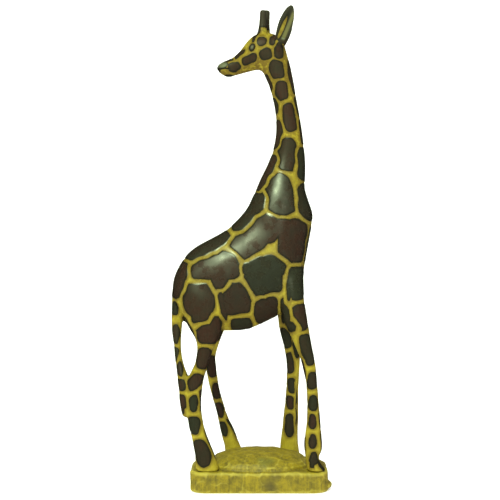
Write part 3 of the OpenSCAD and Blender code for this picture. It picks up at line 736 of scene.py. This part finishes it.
def storePaint(obj, edge, tone, rubAndSheen, x, z):
    # wax is thickest on the back, where the figure is held; the pale wood is darker up the body and neck, and
    # the lower part of the head is darker still as painted shade
    waxed = 0.07 + 0.93 * ramp(z, *zone["polish"]) * (1 - ramp(z, *zone["polishEnd"]))
    # painted shade: the pale wood darkens on the lower part of the head, below a slanting line
    jaw = 0.32 + 0.55 * (1 - ramp(z - 0.35 * (x + 20), *zone["jaw"]))
    paleDarkening = 0.1 + 0.15 * ramp(z, *zone["legDarkening"]) + 0.3 * ramp(z, *zone["neckDarkening"])
    onFace = ramp(z, *zone["head"]) * (z < zone["crown"])
    paleDarkening += (jaw - paleDarkening) * onFace
    tone = tone * (1 - 0.5 * onFace)
    for name, values in (("spot", edge), ("tone", tone), ("rubAndSheen", rubAndSheen), ("waxed", waxed), ("paleDarkening", paleDarkening)):
        storeValues(obj.data, name, values)


def paintTrim(obj, points):
    x, y, z = points.T / mm
    edge, rubAndSheen, _ = paintEar(x, z)
    onHorn = x < earFront
    edge = np.where(onHorn, paintHorn(x, z), edge)
    storePaint(obj, edge, np.where(onHorn, 0.6, 0.8), np.where(onHorn, 0.0, rubAndSheen), x, z)


hoofStreak = [(71, 41), (75, 34), (82, 25)]   # stain that ran down behind the near front hoof


def paintPatches(obj):
    points = readPoints(obj.data)
    edge, tone = patchEdges(points, readNormals(obj.data), patches)
    x, y, z = points.T / mm
    hoofTop, ankle = zone["hoof"]
    edge = np.where(z < ankle, np.minimum(edge, z - hoofTop), edge)   # the hooves stay pale
    rubAndSheen = np.zeros(len(x))
    if obj == legs["right_front_leg"]:
        edge = np.maximum(edge, 1.7 - lineDistance(x, z, hoofStreak))
    if obj == head:
        earEdge, earRub, along = paintEar(x, z)
        onEar = ramp(along, -1.5, 1.5) * ramp(x, 16.5, 19.5) * ramp(np.abs(y), 3, 6)
        edge = edge * (1 - onEar) + earEdge * onEar
        rubAndSheen = earRub * onEar
        onHorn = ramp(z, *zone["hornFoot"]) * (x < earFront)
        edge += (paintHorn(x, z) - edge) * onHorn
        eye = faceOval(x, z, face["eyeAt"], face["eyeHalf"], face["eyeTurn"])
        edge = np.maximum(edge, (1.05 - eye) * 3.5)
        rubAndSheen = np.where(eye < 1.1, 0.3 * (1 - ramp(eye, 0.1, 0.7)), rubAndSheen)
        edge = np.maximum(edge, (0.9 - lineDistance(x, z, face["mouth"])) * 1.5)
        # the muzzle tip: dark stain with a painted greenish highlight
        tip = faceOval(x, z, (-46.5, 536.5), (7.5, 4.6), 12)
        edge = np.maximum(edge, (1 - tip) * 4)
        rubAndSheen = np.maximum(rubAndSheen, 0.4 * (1 - ramp(tip, 0.5, 1.0)))
    storePaint(obj, edge, tone, rubAndSheen, x, z)


headMiddle, headWay = seamPlane("head", "neck")
neckMiddle, neckWay = seamPlane("neck", "torso")
tailLine = [(-112.5, 252), (-97, 210), (-90, 156)]   # scarf joint's two ends, then the top of the hock's flat


def tailSide():
    outline = [(-300, tailLine[0][1])] + tailLine + [(tailLine[-1][0], 20), (-300, 20)]
    return prism([(x * mm, z * mm) for x, z in outline], -0.2, 0.2)


tail = copyOf(bodySkin, "tail")
carve(tail, tailSide(), "INTERSECT")
carve(bodySkin, tailSide(), "DIFFERENCE")

neck = copyOf(bodySkin, "neck")
carve(neck, boxBeyond(neckMiddle, neckWay), "INTERSECT")
carve(neck, boxBeyond(headMiddle, -headWay), "INTERSECT")

torso = copyOf(bodySkin, "torso")
carve(torso, boxBeyond(neckMiddle, -neckWay), "INTERSECT")
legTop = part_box("right_front_leg")[1][2]
carve(torso, boxBeyond((0, 0, legTop), (0, 0, 1)), "INTERSECT")

legs = {}
for legName in figureNodes[4:]:
    low, high = (Vector(v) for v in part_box(legName))
    leg = copyOf(bodySkin, legName)
    nearSide = prism([(low.x - 8 * mm, low.z - 5 * mm), (high.x + 8 * mm, low.z - 5 * mm),
                      (high.x + 8 * mm, legTop), (low.x - 8 * mm, legTop)],
                     *((-0.2, 0) if legName.startswith("right") else (0, 0.2)))
    carve(leg, nearSide, "INTERSECT")
    legs[legName] = leg

head = copyOf(fineSkin, "head")
carve(head, boxBeyond(headMiddle, headWay), "INTERSECT")
print("giraffe: cut into pieces")

trims = {   # mm; cut is how far up the seam sits, reach how wide the piece is taken
    "right_horn": {"foot": (4, -7.6, 573.5), "end": (5.4, -8.4, 606.5), "cut": 4.5, "reach": 9},
    "left_horn": {"foot": (8.4, 7.6, 573.5), "end": (10.2, 8.4, 610.1), "cut": 4.5, "reach": 9},
    "right_ear": {"foot": (25, -11.4, 561.2), "end": (41.3, -22, 610), "cut": 10, "reach": 10.9},
    "left_ear": {"foot": (25, 11.4, 561.2), "end": (41.3, 22, 610), "cut": 10, "reach": 10.9},
}


def localBlock(trim):
    # the space round one horn or ear, from its seam up
    foot, end = Vector(trim["foot"]) * mm, Vector(trim["end"]) * mm
    way = (end - foot).normalized()
    return roundBar(foot + way * trim["cut"] * mm, end + way * 12 * mm, trim["reach"] * mm)


for trimName, trim in trims.items():
    piece = copyOf(head, trimName)
    carve(piece, localBlock(trim), "INTERSECT")
    trim["piece"] = piece
for trim in trims.values():
    carve(head, localBlock(trim), "DIFFERENCE")

for node, obj in [("torso", torso), ("neck", neck), ("tail", tail), ("head", head)] + list(legs.items()):
    dropSlivers(obj)
    paintPatches(obj)
    finishPiece(obj, node, waxedStain)

for trimName, trim in trims.items():
    obj = trim["piece"]
    dropSlivers(obj)
    paintTrim(obj, readPoints(obj.data))
    finishPiece(obj, trimName, waxedEar)
bpy.data.objects.remove(bodySkin)
bpy.data.objects.remove(fineSkin)
print("giraffe: figure painted")

basePiece = {"voxel": 0.95 * mm, "sanding": 5, "markSize": 13 * mm, "markDepth": 1.3 * mm, "seed": 7.0}


def makeChiselMarks(material):
    # shallow gouge hollows side by side, left off the underside
    tree = bpy.data.node_groups.new("chiselMarks", "GeometryNodeTree")
    tree.interface.new_socket("Geometry", in_out="INPUT", socket_type="NodeSocketGeometry")
    for label, value in (("Mark Size", 9 * mm), ("Mark Depth", 0.5 * mm), ("Seed", 1.0)):
        socket = tree.interface.new_socket(label, in_out="INPUT", socket_type="NodeSocketFloat")
        socket.default_value = value
    tree.interface.new_socket("Geometry", in_out="OUTPUT", socket_type="NodeSocketGeometry")
    given = addNode(tree, "NodeGroupInput")
    place = addNode(tree, "GeometryNodeInputPosition")
    normal = addNode(tree, "GeometryNodeInputNormal")
    perMark = addNode(tree, "ShaderNodeMath", {"operation": "DIVIDE", 0: 1.0},
                      {1: given.outputs["Mark Size"]})
    scaled = addNode(tree, "ShaderNodeVectorMath", {"operation": "SCALE"},
                     {0: place.outputs[0], "Scale": perMark.outputs[0]})
    hollows = addNode(tree, "ShaderNodeTexVoronoi", {"voronoi_dimensions": "4D", "feature": "SMOOTH_F1",
                      "Scale": 1.0, "Smoothness": 0.18, "Randomness": 0.9},
                      {"Vector": scaled.outputs[0], "W": given.outputs["Seed"]})
    squared = addNode(tree, "ShaderNodeMath", {"operation": "MULTIPLY"},
                      {0: hollows.outputs["Distance"], 1: hollows.outputs["Distance"]})
    sunk = addNode(tree, "ShaderNodeMath", {"operation": "SUBTRACT", 1: 0.55}, {0: squared.outputs[0]})
    facing = addNode(tree, "ShaderNodeSeparateXYZ", {}, {0: normal.outputs[0]})
    notUnder = addNode(tree, "ShaderNodeMapRange", {"From Min": -0.8, "From Max": -0.4},
                       {"Value": facing.outputs["Z"]})
    depth = addNode(tree, "ShaderNodeMath", {"operation": "MULTIPLY"},
                    {0: given.outputs["Mark Depth"], 1: notUnder.outputs[0]})
    amount = addNode(tree, "ShaderNodeMath", {"operation": "MULTIPLY"},
                     {0: sunk.outputs[0], 1: depth.outputs[0]})
    push = addNode(tree, "ShaderNodeVectorMath", {"operation": "SCALE"},
                   {0: normal.outputs[0], "Scale": amount.outputs[0]})
    moved = addNode(tree, "GeometryNodeSetPosition", {}, {"Geometry": given.outputs["Geometry"],
                    "Offset": push.outputs[0]})
    real = addNode(tree, "GeometryNodeRealizeInstances", {}, {"Geometry": moved.outputs[0]})
    coated = addNode(tree, "GeometryNodeSetMaterial", {"Material": material}, {"Geometry": real.outputs[0]})
    addNode(tree, "NodeGroupOutput", {}, {0: coated.outputs[0]})
    return tree


def cutMarks(obj, tree, sizes):
    marks = obj.modifiers.new("marks", "NODES")
    marks.node_group = tree
    ids = {s.name: s.identifier for s in tree.interface.items_tree if s.in_out == "INPUT"}
    for label, value in sizes.items():
        marks[ids[label]] = value
    applyModifiers(obj)


base = gatherParts("base", ["base"])
voxelSkin(base, basePiece["voxel"])
sandSkin(base.data, basePiece["sanding"], np.ones(len(base.data.vertices)))
cutMarks(base, makeChiselMarks(chiselled), {"Mark Size": basePiece["markSize"],
         "Mark Depth": basePiece["markDepth"], "Seed": basePiece["seed"]})
proud = readPoints(base.data) - sandedPoints(base.data, 9, np.ones(len(base.data.vertices)))
ridge = (proud * readNormals(base.data)).sum(axis=1) / mm   # above 0 on edges, below 0 in hollows
storeValues(base.data, "ridge", ridge)
finishPiece(base, "base", chiselled)

for node in ("neck_dowel", "head_dowel", "leg_dowels", "tail_dowel"):
    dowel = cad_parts[node]
    dowel.data.materials.clear()
    dowel.data.materials.append(turned)
print("giraffe: base and dowels done")

floorLook, floorTree = newMaterial("palePaperSweep")
floorShader = addNode(floorTree, "ShaderNodeBsdfPrincipled", {"Base Color": hexColour("#F6F6F4"),
                      "Roughness": 0.9, "Emission Color": hexColour("#FFFFFF"), "Emission Strength": 0.45})
addNode(floorTree, "ShaderNodeOutputMaterial", {}, {"Surface": floorShader.outputs[0]})


def makeSweep():
    # a paper sweep: flat floor that curves up behind
    sheet = bmesh.new()
    profile = [(-3.0, 0.0), (1.0, 0.0)]
    profile += [(1.0 + 0.8 * math.sin(a), 0.8 - 0.8 * math.cos(a)) for a in np.linspace(0.1, math.pi / 2, 16)]
    profile += [(1.8, 4.0)]
    left = [sheet.verts.new((-4, y, z)) for y, z in profile]
    right = [sheet.verts.new((4, y, z)) for y, z in profile]
    for i in range(len(profile) - 1):
        sheet.faces.new((left[i], right[i], right[i + 1], left[i + 1])).smooth = True
    mesh = bpy.data.meshes.new("sweep")
    sheet.to_mesh(mesh)
    sheet.free()
    mesh.materials.append(floorLook)
    return linkObject("sweep", mesh)


sweep = makeSweep()
sweep.visible_glossy = False   # the wax mirrors a dim room, not the white paper

studio = [   # name, place, aim, width, height, power, colour, seen in the wax
    ("window", (-0.44, -1.46, 1.66), (0, 0, 0.33), 0.62, 0.66, 50, "#E8FFCC", True),
    ("slit", (0.42, -1.75, 0.95), (0, 0, 0.36), 0.2, 0.5, 1.6, "#EEFFD6", True),
    ("fill", (0.1, -2.2, 0.6), (0, 0, 0.3), 1.4, 1.4, 6, "#FFFCF0", False),
    ("top", (0.2, 0.8, 1.9), (0, 0.3, 0.3), 1.2, 1.0, 12, "#FFFFFF", False),
]
for name, place, aim, width, tall, power, tint, seen in studio:
    lamp = bpy.data.lights.new(name, "AREA")
    lamp.shape = "RECTANGLE"
    lamp.size, lamp.size_y = width, tall
    lamp.energy = power
    lamp.color = hexColour(tint)[:3]
    lampObject = bpy.data.objects.new(name, lamp)
    lampObject.location = place
    lampObject.rotation_euler = (Vector(aim) - Vector(place)).to_track_quat("-Z", "Y").to_euler()
    lampObject.visible_glossy = seen
    bpy.context.collection.objects.link(lampObject)

world = bpy.data.worlds.new("softRoom")
bpy.context.scene.world = world
world.use_nodes = True
world.node_tree.nodes.clear()
room = addNode(world.node_tree, "ShaderNodeBackground", {"Color": hexColour("#FFFFFF"), "Strength": 0.45})
mirrored = addNode(world.node_tree, "ShaderNodeBackground", {"Color": hexColour("#3A3D30"), "Strength": 0.3})
plain = addNode(world.node_tree, "ShaderNodeBackground", {"Color": hexColour("#FFFFFF"), "Strength": 1.0})
ray = addNode(world.node_tree, "ShaderNodeLightPath")
softRoom = addNode(world.node_tree, "ShaderNodeMixShader", {}, {0: ray.outputs["Is Glossy Ray"],
                   1: room.outputs[0], 2: mirrored.outputs[0]})
seenRoom = addNode(world.node_tree, "ShaderNodeMixShader", {}, {0: ray.outputs["Is Camera Ray"],
                   1: softRoom.outputs[0], 2: plain.outputs[0]})
addNode(world.node_tree, "ShaderNodeOutputWorld", {}, {"Surface": seenRoom.outputs[0]})

camera = bpy.data.cameras.new("camera")
camera.lens = 70.1
camera.sensor_width = 36
camera.clip_end = 20
cameraObject = bpy.data.objects.new("camera", camera)
cameraObject.location = (-0.0116, -1.25, 0.3002)
cameraObject.rotation_euler = (math.radians(90), 0, 0)
bpy.context.collection.objects.link(cameraObject)
bpy.context.scene.camera = cameraObject
